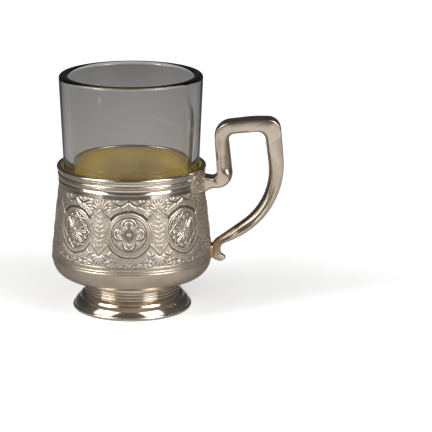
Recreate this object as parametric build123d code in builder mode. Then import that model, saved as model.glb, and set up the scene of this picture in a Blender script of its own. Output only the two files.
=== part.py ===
from build123d import *
from math import cos, radians, sin
import os

os.makedirs("parts", exist_ok=True)

# Tea glass holder on a foot, with its glass. Millimetres, +Z up.
# The origin is the centre of the foot's underside; the handle points along +X.

# ---------------------------------------------------------------- heights, from the table up
foot_height = 16.5          # table to the underside of the bowl
bowl_height = 10.8          # underside of the bowl to its edge, where the wall stands on it
skirt_height = 2.9          # edge of the bowl to the chased field of the wall
ornament_width = 33.0       # the chased field
plain_band_height = 2.0     # plain band over it, up to the rim mouldings
mouldings_height = 6.1      # rim mouldings, up to the rim wire
rim_wire_height = 1.8

# ---------------------------------------------------------------- wall and its relief
neck_radius = 35.5          # outside of the wall under the rim mouldings
belly = 4.5                 # the reeds, the widest place, stand out from the neck by this
wall_thickness = 0.8        # rolled sheet
ground_proud = 0.3          # sunk ground of the ornament at its top, over the neck
plain_band_proud = 0.35     # plain band over the sunk ground
relief_height = 0.35        # straps over the sunk ground
roundel_count = 8
roundel_rise = 16.0         # middle of the roundels over the lower edge of the field
strap_inner = 11.3          # strap round a roundel
strap_width = 2.3
strap_half_angle = 50       # each of its two arcs, to each side of the vertical
cusp_height = 2.0           # point on the middle of each arc
panel_rise = 1.2            # middle of the tall panels over the middle of the roundels
panel_half_height = 11.2
panel_half_width = 5.8
panel_shoulder = 5.0        # from the middle of a panel to where its gables start
panel_gap = 0.6             # between a panel and the strap's circle
panel_frame = 0.9

# ---------------------------------------------------------------- rosettes
rosette_radius = 9.6
rosette_thickness = 0.3
petal_proud = 0.35          # petals and leaves over the disc
boss_proud = 0.3            # boss over the petals
boss_radius = 1.6
petal_count = 4
petal_radius = 2.9
petal_circle = 4.9          # circle of the petals' middles
leaf_count = 8
leaf_length = 7.8
leaf_root = 3.4             # from the middle to the notches between the leaves

# ---------------------------------------------------------------- rim wire and mouldings
rim_wire_proud = 1.5        # over the neck
rim_wire_cap = 0.8          # above the edge of the wall
rim_wire_easing = 0.4       # its inner edge
collar_wire_height = 0.7
collar_wire_proud = 0.75
hollow_height = 1.8         # from below: hollow, step, bead, groove and fillet
hollow_proud = 0.4
step_height = 0.7
step_proud = 0.8
bead_height = 1.5
bead_proud = 1.1
groove_height = 0.3
groove_proud = 0.5
fillet_proud = 0.9

# ---------------------------------------------------------------- reeded band and bowl
band_thickness = 0.5
band_overlap = 1.5          # reeded band below the joint
reed_count = 3
reed_pitch = 0.8
reed_depth = 0.25
plain_fillet_thickness = 0.4
bowl_knee = 9.0             # radius between the side and the flat underside
bowl_thickness = 0.9

# ---------------------------------------------------------------- foot
foot_radius = 29.65         # outside of the foot wire
foot_wire_height = 2.0
foot_wire_width = 1.5
foot_wire_set_back = 0.4    # its flats, behind its rounded outside
dome_height = 8.0           # where the neck stands on the dome
dome_flank_width = 3.65     # from the outside of the foot to the step
dome_flare_width = 2.0      # from the step to the shoulder
dome_step_height = 5.5
dome_step = 0.35
dome_crown = 0.35           # the flank bulges by this
dome_thickness = 0.8
dome_ledge = 0.65           # from the shoulder to the neck
foot_neck_flare = 0.45      # the neck is wider by this at the dome than at the bowl
foot_neck_wall = 1.0
foot_ring_count = 3
foot_ring_pitch = 1.55
foot_ring_proud = 0.4

# ---------------------------------------------------------------- plates of the handle
plate_half_angle = 34       # upper plate, to each side of the handle
plate_height = 11.1         # from the rim wire down to its lowest point
plate_rise = 2.4            # its lower edge rises by this to the corners
plate_proud = 1.1           # its field over the neck
plate_border = 0.9
plate_border_proud = 0.3
pad_drop = 2.1              # lower plate, below the joint
pad_height = 8.4
pad_width = 8.6
pad_thickness = 0.6         # over the reeds

# ---------------------------------------------------------------- handle, as seen from the side
handle_width = 9.4          # across, along Y
handle_rounding = 2.1       # long edges on the finger side
handle_edge = 0.5           # long edges on the outer side
arm_drop = 4.9              # top of the arm below the rim wire
arm_length = 5.95           # from the upper plate to the stem
arm_top_rounding = 2.2
arm_depth = 5.9
arm_droop = 1.6             # its underside falls by this towards the plate
arm_droop_length = 2.9
arm_droop_rounding = 8.0
stem_height = 27.5          # from the top of the arm to the corner of the top bar
stem_lean = 2.05            # the stem leans back by this
stem_width = 8.45           # at the arm
stem_width_high = 7.45
stem_rounding = 7.0         # finger side of the stem and the arm
stem_high_rounding = 4.5
top_rise = 2.4              # the top bar rises by this to its crown
top_crown_length = 19.5     # from the stem to the crown
top_crown_rounding = 60.0
top_length = 12.8           # from the crown to the corner at the grip
top_depth_near = 8.2        # top bar, at the stem
top_depth = 6.4             # top bar, at the grip
top_corner_rounding = 4.2
loop_rounding_near = 2.0    # corners of the finger loop under the top bar
loop_rounding = 2.6
grip_width = 7.1            # grip, the long outer bar
grip_height = 45.9          # its outside, down to the corner of the lower bar
grip_splay = 4.5            # the corner stands out by this from the top corner
grip_low_rounding = 39.0
lower_bar_depth = 5.5       # at the grip
lower_bar_rounding = 32.0   # finger side of the grip and the lower bar
heel_width = 3.6            # outer face of the heel, from the lower plate
heel_rise = 4.7             # corner of the heel over the joint
heel_rounding = 3.5
seat_rise = 3.6             # the finger side meets the lower plate higher by this
seat_rounding = 6.0
seat_drop = 2.7             # lower end of the seat below the joint
tail_length = 6.2
tail_depth = 0.9
tail_lift = 0.5             # tip of the tail over the lower end of the seat
tail_drop = 1.3             # the tail hangs below the seat by this
tail_middle = 2.8
tail_rounding = 2.0

# ---------------------------------------------------------------- glass
glass_play = 1.05           # between glass and wall, at the rim
glass_taper = 0.0445        # radius gained for each millimetre of height
glass_height = 100.6
glass_wall = 4.6
glass_lip_flat = 0.2        # left between the roundings of the lip
glass_floor = 8.0
glass_heel = 2.6
glass_inner_corner = 6.0

# ---------------------------------------------------------------- sizes that follow
joint_height = foot_height + bowl_height
ornament_low = joint_height + skirt_height
ornament_high = ornament_low + ornament_width
collar_height = ornament_high + plain_band_height
moulding_top = collar_height + mouldings_height
rim_height = moulding_top + rim_wire_height
wall_top = rim_height - rim_wire_cap
roundel_height = ornament_low + roundel_rise
panel_height = roundel_height + panel_rise
strap_outer = strap_inner + strap_width

body_radius = neck_radius + belly
skirt_radius = body_radius - band_thickness      # wall and bowl under the reeded band
ground_radius_high = neck_radius + ground_proud
ground_slope = (skirt_radius - ground_radius_high) / (ornament_high - ornament_low)
neck_bore = neck_radius - wall_thickness
rim_radius = neck_radius + rim_wire_proud

band_low = joint_height - band_overlap
reeds_top = band_low + reed_count * reed_pitch
knee_height = foot_height + bowl_knee
knee_radius = skirt_radius - bowl_knee           # where the flat underside of the bowl ends

wire_inside = foot_radius - foot_wire_width
dome_step_radius = foot_radius - dome_flank_width
dome_shoulder_radius = dome_step_radius - dome_flare_width
foot_neck_low_radius = dome_shoulder_radius - dome_ledge
foot_neck_radius = foot_neck_low_radius - foot_neck_flare
foot_neck_bore = foot_neck_radius - foot_neck_wall

plate_low = moulding_top - plate_height
plate_radius = neck_radius + plate_proud
plate_arc = 2 * plate_half_angle
plate_half_chord = plate_radius * sin(radians(plate_half_angle))
plate_edge_radius = (plate_half_chord**2 + plate_rise**2) / (2 * plate_rise)
pad_low = joint_height - pad_drop
pad_high = pad_low + pad_height
contact_x = body_radius + pad_thickness          # where the handle's lower end touches its pad

arm_top = moulding_top - arm_drop
arm_low = arm_top - arm_depth
stem_reach = plate_radius + arm_length
stem_high_reach = stem_reach - stem_lean
stem_high = arm_top + stem_height
crown_reach = stem_high_reach + top_crown_length
handle_top = stem_high + top_rise
top_corner_reach = crown_reach + top_length
grip_reach = top_corner_reach + grip_splay
grip_low = handle_top - grip_height
heel_reach = contact_x + heel_width
heel_high = joint_height + heel_rise
seat_low = joint_height - seat_drop
tail_reach = contact_x + tail_length
tail_height = seat_low + tail_lift
same_place = 0.01           # an edge this near to a drawn line lies on it

glass_base = foot_height + bowl_thickness
glass_top = glass_base + glass_height
glass_lip = (glass_wall - glass_lip_flat) / 2


def ground_radius(height):
    """Radius of the sunk ground of the ornament at a height."""
    return skirt_radius - ground_slope * (height - ornament_low)


def glass_radius(height):
    """Outside radius of the glass at a height."""
    return neck_bore - glass_play + glass_taper * (height - rim_height)


def radial_plane(azimuth):
    """Upright plane through the axis; its X points outward and its Y is up."""
    angle = radians(azimuth)
    return Plane(origin=(0, 0, 0), x_dir=(cos(angle), sin(angle), 0), z_dir=(sin(angle), -cos(angle), 0))


def facing_plane(azimuth, height, radius):
    """Upright plane at a radius that faces outward; its X is along the wall and its Y is up."""
    angle = radians(azimuth)
    outward = Vector(cos(angle), sin(angle), 0)
    along = Vector(-sin(angle), cos(angle), 0)
    return Plane(origin=outward * radius + Vector(0, 0, height), x_dir=along, z_dir=outward)


def roundel_plane(index):
    """Plane inside the wall that faces outward through one roundel."""
    return facing_plane(index * 360 / roundel_count, roundel_height, neck_bore)


def layer_section(inner, outer):
    """Section of a layer of the wall, from and to these distances over the sunk ground."""
    return (
        (ground_radius(ornament_low) + inner, ornament_low),
        (ground_radius(ornament_low) + outer, ornament_low),
        (ground_radius(ornament_high) + outer, ornament_high),
        (ground_radius(ornament_high) + inner, ornament_high),
    )


# ================================================================ straps of the ornament
with BuildPart() as roundel_straps:
    side = 3 * strap_outer * sin(radians(strap_half_angle))
    rise = 3 * strap_outer * cos(radians(strap_half_angle))
    for index in range(roundel_count):
        with BuildSketch(roundel_plane(index)):
            Circle(strap_outer)
            with Locations((0, strap_outer), (0, -strap_outer)):
                Rectangle(2 * cusp_height, 2 * cusp_height, rotation=45)
            Circle(strap_inner, mode=Mode.SUBTRACT)
            Polygon((0, 0), (side, rise), (side, -rise), align=None, mode=Mode.SUBTRACT)
            Polygon((0, 0), (-side, rise), (-side, -rise), align=None, mode=Mode.SUBTRACT)
        extrude(amount=body_radius - neck_bore)
    with BuildSketch(Plane.XZ):
        Polygon(*layer_section(-wall_thickness / 2, relief_height), align=None)
    revolve(axis=Axis.Z, mode=Mode.INTERSECT)

# ================================================================ frames of the tall panels
with BuildPart() as panel_frames:
    spacing = ground_radius(panel_height) * radians(180 / roundel_count)
    drop = roundel_height - panel_height
    for index in range(roundel_count):
        with BuildSketch(facing_plane((index + 0.5) * 360 / roundel_count, panel_height, neck_bore)):
            Polygon(
                (0, panel_half_height),
                (panel_half_width, panel_shoulder),
                (panel_half_width, -panel_shoulder),
                (0, -panel_half_height),
                (-panel_half_width, -panel_shoulder),
                (-panel_half_width, panel_shoulder),
                align=None,
            )
            with Locations((spacing, drop), (-spacing, drop)):
                Circle(strap_inner - panel_gap, mode=Mode.SUBTRACT)
            offset(amount=-panel_frame, kind=Kind.INTERSECTION, mode=Mode.SUBTRACT)
        extrude(amount=body_radius - neck_bore)
    with BuildSketch(Plane.XZ):
        Polygon(*layer_section(-wall_thickness / 2, relief_height), align=None)
    revolve(axis=Axis.Z, mode=Mode.INTERSECT)

# ================================================================ wall
with BuildPart() as wall_band:
    with BuildSketch(Plane.XZ):
        Polygon(
            (skirt_radius - wall_thickness, joint_height),
            (skirt_radius, joint_height),
            (skirt_radius, ornament_low),
            (ground_radius_high, ornament_high),
            (ground_radius_high + plain_band_proud, ornament_high),
            (ground_radius_high + plain_band_proud, collar_height),
            (neck_radius, collar_height),
            (neck_radius, wall_top),
            (neck_bore, wall_top),
            (neck_bore, collar_height),
            (ground_radius_high - wall_thickness, ornament_high),
            (skirt_radius - wall_thickness, ornament_low),
            align=None,
        )
    revolve(axis=Axis.Z)
    add(roundel_straps.part)
    add(panel_frames.part)
wall_band.part.label = "wall_band"
export_step(wall_band.part, "parts/wall_band.step")

# ================================================================ petals and leaves of the rosettes
with BuildPart() as petal_tops:
    for index in range(0, roundel_count, 2):
        with BuildSketch(roundel_plane(index)):
            with PolarLocations(petal_circle, petal_count, start_angle=90):
                Circle(petal_radius)
            Circle(petal_circle)
        extrude(amount=body_radius - neck_bore)
    with BuildSketch(Plane.XZ):
        Polygon(*layer_section(rosette_thickness / 2, rosette_thickness + petal_proud), align=None)
    revolve(axis=Axis.Z, mode=Mode.INTERSECT)

with BuildPart() as leaf_tops:
    star = []
    for corner in range(2 * leaf_count):
        turn = radians(90 + corner * 180 / leaf_count)
        reach = leaf_root if corner % 2 else leaf_length
        star.append((reach * cos(turn), reach * sin(turn)))
    for index in range(1, roundel_count, 2):
        with BuildSketch(roundel_plane(index)):
            Polygon(*star, align=None)
        extrude(amount=body_radius - neck_bore)
    with BuildSketch(Plane.XZ):
        Polygon(*layer_section(rosette_thickness / 2, rosette_thickness + petal_proud), align=None)
    revolve(axis=Axis.Z, mode=Mode.INTERSECT)

# ================================================================ rosettes: stamped discs with a boss
for name, first, tops in (("rosettes_petal", 0, petal_tops), ("rosettes_star", 1, leaf_tops)):
    with BuildPart() as rosettes:
        for index in range(first, roundel_count, 2):
            with BuildSketch(roundel_plane(index)):
                Circle(rosette_radius)
            extrude(amount=body_radius - neck_bore)
        with BuildSketch(Plane.XZ):
            Polygon(*layer_section(0, rosette_thickness), align=None)
        revolve(axis=Axis.Z, mode=Mode.INTERSECT)
        add(tops.part)
        for index in range(first, roundel_count, 2):
            boss_root = ground_radius(roundel_height) + rosette_thickness
            with BuildSketch(facing_plane(index * 360 / roundel_count, roundel_height, boss_root)):
                Circle(boss_radius)
            extrude(amount=petal_proud + boss_proud)
    rosettes.part.label = name
    export_step(rosettes.part, f"parts/{name}.step")

# ================================================================ rim wire, sitting over the wall's edge
with BuildPart() as rim_wire:
    half_round = rim_wire_height / 2
    with BuildSketch(Plane.XZ):
        with BuildLine():
            outside = ThreePointArc(
                (rim_radius - half_round, moulding_top),
                (rim_radius, moulding_top + half_round),
                (rim_radius - half_round, rim_height),
            )
            Polyline(
                outside @ 1,
                (neck_bore, rim_height),
                (neck_bore, wall_top),
                (neck_radius, wall_top),
                (neck_radius, moulding_top),
                outside @ 0,
            )
        make_face()
        fillet(vertices().group_by(Axis.Y)[-1].sort_by(Axis.X)[0], radius=rim_wire_easing)
    revolve(axis=Axis.Z)
rim_wire.part.label = "rim_wire"
export_step(rim_wire.part, "parts/rim_wire.step")

# ================================================================ mouldings below the rim wire
with BuildPart() as collar_wire:
    wire_half = collar_wire_height / 2
    wire_flat = neck_radius + collar_wire_proud - wire_half
    with BuildSketch(radial_plane(plate_half_angle)):
        with BuildLine():
            outside = ThreePointArc(
                (wire_flat, collar_height),
                (wire_flat + wire_half, collar_height + wire_half),
                (wire_flat, collar_height + collar_wire_height),
            )
            Polyline(
                outside @ 1,
                (neck_radius, collar_height + collar_wire_height),
                (neck_radius, collar_height),
                outside @ 0,
            )
        make_face()
    revolve(axis=Axis.Z, revolution_arc=360 - plate_arc)
collar_wire.part.label = "collar_wire"
export_step(collar_wire.part, "parts/collar_wire.step")

with BuildPart() as rim_moulding:
    hollow_low = collar_height + collar_wire_height
    step_low = hollow_low + hollow_height
    bead_low = step_low + step_height
    groove_low = bead_low + bead_height
    fillet_low = groove_low + groove_height
    with BuildSketch(radial_plane(plate_half_angle)):
        with BuildLine():
            ThreePointArc(
                (neck_radius + groove_proud, hollow_low),
                (neck_radius + hollow_proud, (hollow_low + step_low) / 2),
                (neck_radius + step_proud, step_low),
            )
            Polyline(
                (neck_radius + step_proud, step_low),
                (neck_radius + step_proud, bead_low),
                (neck_radius + groove_proud, bead_low),
            )
            ThreePointArc(
                (neck_radius + groove_proud, bead_low),
                (neck_radius + bead_proud, (bead_low + groove_low) / 2),
                (neck_radius + groove_proud, groove_low),
            )
            Polyline(
                (neck_radius + groove_proud, groove_low),
                (neck_radius + groove_proud, fillet_low),
                (neck_radius + fillet_proud, fillet_low),
                (neck_radius + fillet_proud, moulding_top),
                (neck_radius, moulding_top),
                (neck_radius, hollow_low),
                (neck_radius + groove_proud, hollow_low),
            )
        make_face()
    revolve(axis=Axis.Z, revolution_arc=360 - plate_arc)
rim_moulding.part.label = "rim_moulding"
export_step(rim_moulding.part, "parts/rim_moulding.step")

# ================================================================ reeded band over the joint
with BuildPart() as reeded_band:
    with BuildSketch(Plane.XZ):
        with BuildLine():
            Polyline(
                (skirt_radius, band_low),
                (skirt_radius, ornament_low),
                (skirt_radius + plain_fillet_thickness, ornament_low),
                (skirt_radius + plain_fillet_thickness, reeds_top),
                (body_radius - reed_depth, reeds_top),
            )
            for reed in range(reed_count):
                reed_low = band_low + reed * reed_pitch
                ThreePointArc(
                    (body_radius - reed_depth, reed_low),
                    (body_radius, reed_low + reed_pitch / 2),
                    (body_radius - reed_depth, reed_low + reed_pitch),
                )
            Line((body_radius - reed_depth, band_low), (skirt_radius, band_low))
        make_face()
    revolve(axis=Axis.Z)
reeded_band.part.label = "reeded_band"
export_step(reeded_band.part, "parts/reeded_band.step")

# ================================================================ bowl with its closed floor
with BuildPart() as bowl:
    with BuildSketch(Plane.XZ):
        with BuildLine():
            Polyline(
                (skirt_radius, knee_height),
                (skirt_radius, joint_height),
                (skirt_radius - bowl_thickness, joint_height),
                (skirt_radius - bowl_thickness, knee_height),
            )
            CenterArc((knee_radius, knee_height), bowl_knee - bowl_thickness, 0, -90)
            Polyline(
                (knee_radius, glass_base),
                (0, glass_base),
                (0, foot_height),
                (knee_radius, foot_height),
            )
            CenterArc((knee_radius, knee_height), bowl_knee, 0, -90)
        make_face()
    revolve(axis=Axis.Z)
bowl.part.label = "bowl"
export_step(bowl.part, "parts/bowl.step")

# ================================================================ ringed neck of the foot
with BuildPart() as foot_neck:
    rings_top = dome_height + foot_ring_count * foot_ring_pitch
    ring_step = foot_neck_flare / foot_ring_count
    with BuildSketch(Plane.XZ):
        with BuildLine():
            for ring in range(foot_ring_count):
                ring_low = dome_height + ring * foot_ring_pitch
                low_radius = foot_neck_low_radius - ring * ring_step
                ThreePointArc(
                    (low_radius, ring_low),
                    (low_radius - ring_step / 2 + foot_ring_proud, ring_low + foot_ring_pitch / 2),
                    (low_radius - ring_step, ring_low + foot_ring_pitch),
                )
            Polyline(
                (foot_neck_radius, rings_top),
                (foot_neck_radius, foot_height),
                (foot_neck_bore, foot_height),
                (foot_neck_bore, dome_height),
                (foot_neck_low_radius, dome_height),
            )
        make_face()
    revolve(axis=Axis.Z)
foot_neck.part.label = "foot_neck"
export_step(foot_neck.part, "parts/foot_neck.step")

# ================================================================ dome of the foot, open underneath
with BuildPart() as foot_dome:
    hem_radius = wire_inside + dome_thickness
    with BuildSketch(Plane.XZ):
        with BuildLine():
            Line((foot_neck_bore, dome_height), (dome_shoulder_radius, dome_height))
            flare = SagittaArc(
                (dome_shoulder_radius, dome_height),
                (dome_step_radius, dome_step_height + dome_step),
                -dome_crown,
            )
            Line(flare @ 1, (dome_step_radius + dome_step, dome_step_height))
            flank = SagittaArc(
                (dome_step_radius + dome_step, dome_step_height),
                (hem_radius, foot_wire_height),
                dome_crown,
            )
            Polyline(
                flank @ 1,
                (wire_inside, foot_wire_height),
                (dome_step_radius - dome_thickness, dome_step_height - dome_thickness / 2),
                (dome_shoulder_radius - dome_thickness, dome_height - dome_thickness),
                (foot_neck_bore, dome_height - dome_thickness),
                (foot_neck_bore, dome_height),
            )
        make_face()
    revolve(axis=Axis.Z)
foot_dome.part.label = "foot_dome"
export_step(foot_dome.part, "parts/foot_dome.step")

# ================================================================ wire round the foot's edge
with BuildPart() as foot_wire:
    with BuildSketch(Plane.XZ):
        with BuildLine():
            outside = ThreePointArc(
                (foot_radius - foot_wire_set_back, 0),
                (foot_radius, foot_wire_height / 2),
                (foot_radius - foot_wire_set_back, foot_wire_height),
            )
            Polyline(
                outside @ 1,
                (wire_inside, foot_wire_height),
                (wire_inside, 0),
                outside @ 0,
            )
        make_face()
    revolve(axis=Axis.Z)
foot_wire.part.label = "foot_wire"
export_step(foot_wire.part, "parts/foot_wire.step")

# ================================================================ upper plate of the handle
with BuildPart() as plate_field:
    border_angle = plate_border / plate_radius / radians(1)
    with BuildSketch(radial_plane(border_angle - plate_half_angle)):
        Polygon(
            (plate_radius, plate_low),
            (plate_radius + 2 * plate_border_proud, plate_low),
            (plate_radius + 2 * plate_border_proud, moulding_top),
            (plate_radius, moulding_top),
            align=None,
        )
    revolve(axis=Axis.Z, revolution_arc=plate_arc - 2 * border_angle)
    with BuildSketch(Plane.YZ):
        with Locations((0, plate_low + plate_edge_radius)):
            Circle(plate_edge_radius - plate_border)
    extrude(amount=body_radius, mode=Mode.INTERSECT)

with BuildPart() as handle_plate:
    with BuildSketch(radial_plane(-plate_half_angle)):
        Polygon(
            (neck_radius, plate_low),
            (plate_radius + plate_border_proud, plate_low),
            (plate_radius + plate_border_proud, moulding_top),
            (neck_radius, moulding_top),
            align=None,
        )
    revolve(axis=Axis.Z, revolution_arc=plate_arc)
    with BuildSketch(Plane.YZ):
        with Locations((0, plate_low + plate_edge_radius)):
            Circle(plate_edge_radius)
    extrude(amount=body_radius, mode=Mode.INTERSECT)
    add(plate_field.part, mode=Mode.SUBTRACT)
    add(wall_band.part, mode=Mode.SUBTRACT)
handle_plate.part.label = "handle_plate"
export_step(handle_plate.part, "parts/handle_plate.step")

# ================================================================ lower plate of the handle
with BuildPart() as handle_pad:
    with BuildSketch(Plane.XZ):
        Polygon(
            (skirt_radius, pad_low),
            (contact_x, pad_low),
            (contact_x, pad_high),
            (ground_radius(pad_high), pad_high),
            (skirt_radius, ornament_low),
            align=None,
        )
    extrude(amount=pad_width / 2, both=True)
    for body in (wall_band, reeded_band, bowl):
        add(body.part, mode=Mode.SUBTRACT)
handle_pad.part.label = "handle_pad"
export_step(handle_pad.part, "parts/handle_pad.step")

# ================================================================ handle
with BuildPart() as handle:
    with BuildSketch(Plane.XZ):
        with BuildLine():
            outer_side = FilletPolyline(
                (neck_bore, arm_top),
                (stem_reach, arm_top),
                (stem_high_reach, stem_high),
                (crown_reach, handle_top),
                (top_corner_reach, handle_top),
                (grip_reach, grip_low),
                (heel_reach, heel_high),
                (heel_reach, tail_height + tail_rounding),
                (tail_reach, tail_height),
                radius=(
                    arm_top_rounding,
                    stem_high_rounding,
                    top_crown_rounding,
                    top_corner_rounding,
                    grip_low_rounding,
                    heel_rounding,
                    tail_rounding,
                ),
            )
            finger_side = FilletPolyline(
                (neck_bore, arm_low - arm_droop),
                (plate_radius + arm_droop_length, arm_low),
                (stem_reach + stem_width, arm_low),
                (stem_high_reach + stem_width_high, handle_top - top_depth_near),
                (top_corner_reach - grip_width, handle_top - top_depth),
                (grip_reach - grip_width, grip_low + lower_bar_depth),
                (contact_x, heel_high + seat_rise),
                (contact_x, seat_low),
                radius=(
                    arm_droop_rounding,
                    stem_rounding,
                    loop_rounding_near,
                    loop_rounding,
                    lower_bar_rounding,
                    seat_rounding,
                ),
            )
            tail_side = FilletPolyline(
                (contact_x, seat_low),
                (contact_x + tail_middle, seat_low - tail_drop),
                (tail_reach, tail_height - tail_depth),
                radius=tail_rounding,
            )
            Line(outer_side @ 1, tail_side @ 1)
            Line(outer_side @ 0, finger_side @ 0)
        make_face()
    extrude(amount=handle_width / 2, both=True)
    for side, rounding in ((finger_side, handle_rounding), (outer_side, handle_edge)):
        long_edges = []
        for edge in handle.faces().filter_by(Axis.Y).edges():
            middle = edge @ 0.5
            if side.distance_to(Vector(middle.X, middle.Z)) < same_place:
                long_edges.append(edge)
        fillet(long_edges, radius=rounding)
    with BuildSketch():
        Circle(plate_radius)
    extrude(amount=rim_height, mode=Mode.SUBTRACT)
    add(handle_plate.part, mode=Mode.SUBTRACT)
handle.part.label = "handle"
export_step(handle.part, "parts/handle.step")

# ================================================================ glass
with BuildPart() as tea_glass:
    with BuildSketch(Plane.XZ):
        Polygon(
            (0, glass_base),
            (glass_radius(glass_base), glass_base),
            (glass_radius(glass_top), glass_top),
            (glass_radius(glass_top) - glass_wall, glass_top),
            (glass_radius(glass_base + glass_floor) - glass_wall, glass_base + glass_floor),
            (0, glass_base + glass_floor),
            align=None,
        )
        fillet(vertices().group_by(Axis.Y)[1].sort_by(Axis.X)[-1], radius=glass_inner_corner)
        fillet(vertices().group_by(Axis.Y)[0].sort_by(Axis.X)[-1], radius=glass_heel)
        fillet(vertices().group_by(Axis.Y)[-1], radius=glass_lip)
    revolve(axis=Axis.Z)
tea_glass.part.label = "tea_glass"
export_step(tea_glass.part, "parts/tea_glass.step")
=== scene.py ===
from math import acos, atan, cos, hypot, pi, radians, sin, tan

import bmesh
import bpy
import numpy as np
from mathutils import Matrix, Vector


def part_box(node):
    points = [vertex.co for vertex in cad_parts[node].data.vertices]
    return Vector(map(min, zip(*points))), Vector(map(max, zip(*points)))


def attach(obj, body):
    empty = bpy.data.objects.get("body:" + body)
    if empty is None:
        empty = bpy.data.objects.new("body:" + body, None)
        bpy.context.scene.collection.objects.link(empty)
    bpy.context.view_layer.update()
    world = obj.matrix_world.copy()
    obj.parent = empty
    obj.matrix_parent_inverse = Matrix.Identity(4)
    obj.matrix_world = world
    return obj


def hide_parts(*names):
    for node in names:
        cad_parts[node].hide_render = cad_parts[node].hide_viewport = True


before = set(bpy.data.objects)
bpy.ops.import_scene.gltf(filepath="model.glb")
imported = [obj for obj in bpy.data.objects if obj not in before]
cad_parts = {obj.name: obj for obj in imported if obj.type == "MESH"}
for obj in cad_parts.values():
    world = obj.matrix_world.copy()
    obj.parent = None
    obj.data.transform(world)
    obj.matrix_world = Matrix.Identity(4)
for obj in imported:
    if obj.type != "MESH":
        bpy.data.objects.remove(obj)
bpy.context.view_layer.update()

# The object is drawn in millimetres and its meshes are written in metres. Stage, lights and
# camera are in metres.
MM = 0.001


# ======== sizes read from the frame
def low(node, axis=2):
    """Lowest coordinate of a node along an axis."""
    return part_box(node)[0][axis] / MM


def high(node, axis=2):
    """Highest coordinate of a node along an axis."""
    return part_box(node)[1][axis] / MM


def radius_of(node):
    """Outside radius of a turned node, read across the handle's direction."""
    return high(node, 1)


foot_radius = radius_of("foot_wire")
foot_wire_top = high("foot_wire")
dome_top = high("foot_dome")
bowl_low = low("bowl")
joint_height = high("bowl")
skirt_radius = radius_of("bowl")
band_low = low("reeded_band")
band_radius = radius_of("reeded_band")
ornament_low = high("reeded_band")
collar_low = low("collar_wire")
collar_top = high("collar_wire")
moulding_top = high("rim_moulding")
rim_top = high("rim_wire")
rim_radius = radius_of("rim_wire")
wall_top = high("wall_band")
plate_low = low("handle_plate")
pad_face = high("handle_pad", 0)
glass_base = low("tea_glass")
glass_top = high("tea_glass")
glass_top_radius = radius_of("tea_glass")

# ======== sizes of the finished surfaces
wall_thickness = 0.8
ornament_width = 33.0
ornament_high = ornament_low + ornament_width
neck_radius = rim_radius - 1.5
ground_high_radius = neck_radius + 0.3
plain_band_proud = 0.35
collar_proud = 0.75
neck_bore = neck_radius - wall_thickness
foot_ring_proud = 0.37
foot_neck_radius = radius_of("foot_neck") - foot_ring_proud
foot_wire_inside = foot_radius - 1.5

roundel_count = 8
roundel_height = ornament_low + 16.0
rosette_radius = 9.6
strap_inner = 12.0
strap_outer = 14.4
strap_half_angle = radians(47)
cusp_reach = 1.7
relief_height = 0.35
panel_height = roundel_height + 1.2
panel_half_height = 11.2
panel_half_width = 5.8
panel_shoulder = 5.0
panel_circle = 10.7

plate_half_angle = radians(34)
plate_proud = 1.1
plate_radius = neck_radius + plate_proud
plate_border = 0.9
plate_border_proud = 0.32
plate_rise = 2.4


def ground_radius(height):
    """Radius of the sunk ground of the ornament at a height."""
    share = (height - ornament_low) / ornament_width
    return skirt_radius + (ground_high_radius - skirt_radius) * share


# ======== drawing helpers
def rounded(corners, radii, steps=6):
    """Points of a line through these corners, each turned on its own radius."""
    points = []
    corners = np.array(corners, float)
    for index, (here, radius) in enumerate(zip(corners, radii)):
        if radius == 0:
            points.append(here)
            continue
        back = corners[index - 1] - here
        ahead = corners[(index + 1) % len(corners)] - here
        back /= np.linalg.norm(back)
        ahead /= np.linalg.norm(ahead)
        half = 0.5 * acos(float(np.clip(back @ ahead, -1, 1)))
        turn = pi - 2 * half
        bisector = (back + ahead) / np.linalg.norm(back + ahead)
        centre = here + bisector * radius / sin(half)
        first = here + back * radius / tan(half) - centre
        last = here + ahead * radius / tan(half) - centre
        for step in range(steps + 1):
            share = step / steps
            swing = (sin((1 - share) * turn) * first + sin(share * turn) * last) / sin(turn)
            points.append(centre + swing)
    return points


def bow(start, end, bulge, steps=8):
    """Points of a shallow arc from start to end, which bulges to the right by this much."""
    start = np.array(start, float)
    end = np.array(end, float)
    along = end - start
    across = np.array((along[1], -along[0])) / np.linalg.norm(along)
    shares = np.linspace(0, 1, steps + 1)
    return [start + along * share + across * bulge * 4 * share * (1 - share) for share in shares]


def rectangle(left, foot, right, head):
    """Corners of a rectangle, counterclockwise from its lower left one."""
    return ((left, foot), (right, foot), (right, head), (left, head))


def new_mesh(name, vertices, faces, sharp=35):
    """Mesh of vertices in millimetres, smooth but for edges sharper than this angle."""
    shape = bmesh.new()
    mesh = bpy.data.meshes.new(name)
    mesh.from_pydata((np.asarray(vertices) * MM).tolist(), [], faces)
    shape.from_mesh(mesh)
    bmesh.ops.remove_doubles(shape, verts=shape.verts, dist=1e-7)
    bmesh.ops.recalc_face_normals(shape, faces=shape.faces)
    shape.to_mesh(mesh)
    shape.free()
    mesh.shade_smooth()
    mesh.set_sharp_from_angle(angle=radians(sharp))
    return mesh


def add_marks(mesh, values):
    """Stores how much patina and painted shade darken each vertex, from 0 to 1."""
    attribute = mesh.attributes.new("tarnish_and_painted_shade", "FLOAT", "POINT")
    attribute.data.foreach_set("value", np.asarray(values, np.float32).ravel())


def add_object(name, data):
    """New object in the scene."""
    added = bpy.data.objects.new(name, data)
    bpy.context.scene.collection.objects.link(added)
    return added


def add_piece(name, mesh, slot, nodes, *materials, body="holder"):
    """The finished piece, which rides on a body and stands for CAD nodes."""
    piece = add_object(name, mesh)
    for material in materials:
        mesh.materials.append(material)
    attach(piece, body)
    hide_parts(*nodes)
    return piece


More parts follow.
